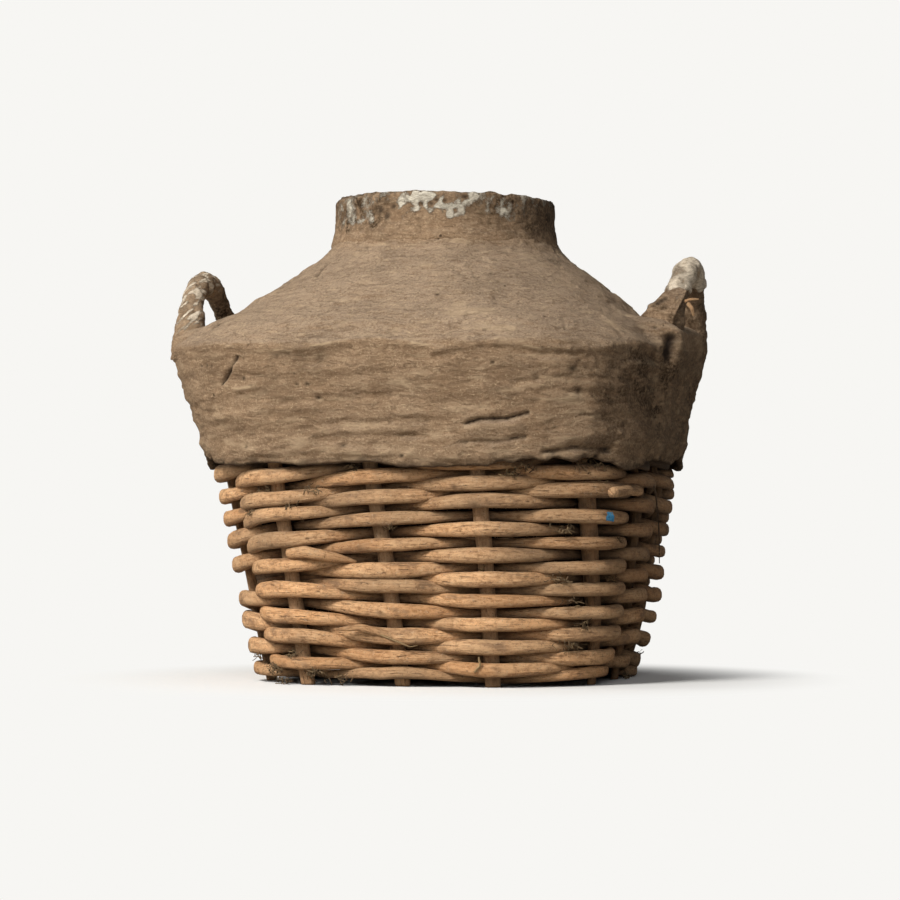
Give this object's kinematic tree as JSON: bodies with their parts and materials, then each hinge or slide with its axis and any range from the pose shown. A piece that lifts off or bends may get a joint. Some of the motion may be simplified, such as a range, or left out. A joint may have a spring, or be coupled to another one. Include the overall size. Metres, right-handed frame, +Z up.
{
  "type": "wicker-covered wine jar",
  "caption": "Rounded square willow basket jar, tapering to its foot, with a papier-mache shoulder, a round limed neck, two loop handles and a paper vessel inside, for storing wine.",
  "frame": {"origin": "on the ground in the middle of the jar, under the centre of the neck", "axes": "+Z up, front toward -Y, handles on +X and -X"},
  "size_m": [0.468, 0.429, 0.4303],
  "materials": {
    "willow_weavers": "peeled willow rods, aged tan, dull satin, dust in the gaps",
    "willow_stakes": "thick willow stakes, aged tan, dull",
    "bent_wood": "bent rod, dull brown",
    "liner_paper": "layers of sealed paper, dark brown, slightly waxy",
    "papier_mache": "fibrous papier-mache, grey brown, matt, cracked and stained",
    "limed_paper": "papier-mache with flaking off-white lime, matt",
    "worn_handle_paper": "paper wrap worn pale at the top, brown at the roots, matt"
  },
  "bodies": {
    "root": {"stake_01": "willow_stakes", "stake_02": "willow_stakes", "stake_03": "willow_stakes", "stake_04": "willow_stakes", "stake_05": "willow_stakes", "stake_06": "willow_stakes", "stake_07": "willow_stakes", "stake_08": "willow_stakes", "stake_09": "willow_stakes", "stake_10": "willow_stakes", "stake_11": "willow_stakes", "stake_12": "willow_stakes", "stake_13": "willow_stakes", "stake_14": "willow_stakes", "weaver_01": "willow_weavers", "weaver_02": "willow_weavers", "weaver_03": "willow_weavers", "weaver_04": "willow_weavers", "weaver_05": "willow_weavers", "weaver_06": "willow_weavers", "weaver_07": "willow_weavers", "weaver_08": "willow_weavers", "weaver_09": "willow_weavers", "weaver_10": "willow_weavers", "weaver_11": "willow_weavers", "weaver_12": "willow_weavers", "weaver_13": "willow_weavers", "weaver_14": "willow_weavers", "weaver_15": "willow_weavers", "weaver_16": "willow_weavers", "weaver_17": "willow_weavers", "weaver_18": "willow_weavers", "weaver_19": "willow_weavers", "weaver_20": "willow_weavers", "weaver_21": "willow_weavers", "weaver_22": "willow_weavers", "weaver_23": "willow_weavers", "weaver_24": "willow_weavers", "weaver_25": "willow_weavers", "weaver_26": "willow_weavers", "weaver_27": "willow_weavers", "weaver_28": "willow_weavers", "base_stick_lower_01": "willow_stakes", "base_stick_lower_02": "willow_stakes", "base_stick_lower_03": "willow_stakes", "base_stick_upper_01": "willow_stakes", "base_stick_upper_02": "willow_stakes", "base_stick_upper_03": "willow_stakes", "paper_liner": "liner_paper", "papier_mache_coat": "papier_mache", "neck_hoop": "bent_wood", "neck_band": "limed_paper", "left_handle_core": "bent_wood", "left_handle_wrap": "worn_handle_paper", "right_handle_core": "bent_wood", "right_handle_wrap": "worn_handle_paper"}
  },
  "joints": []
}
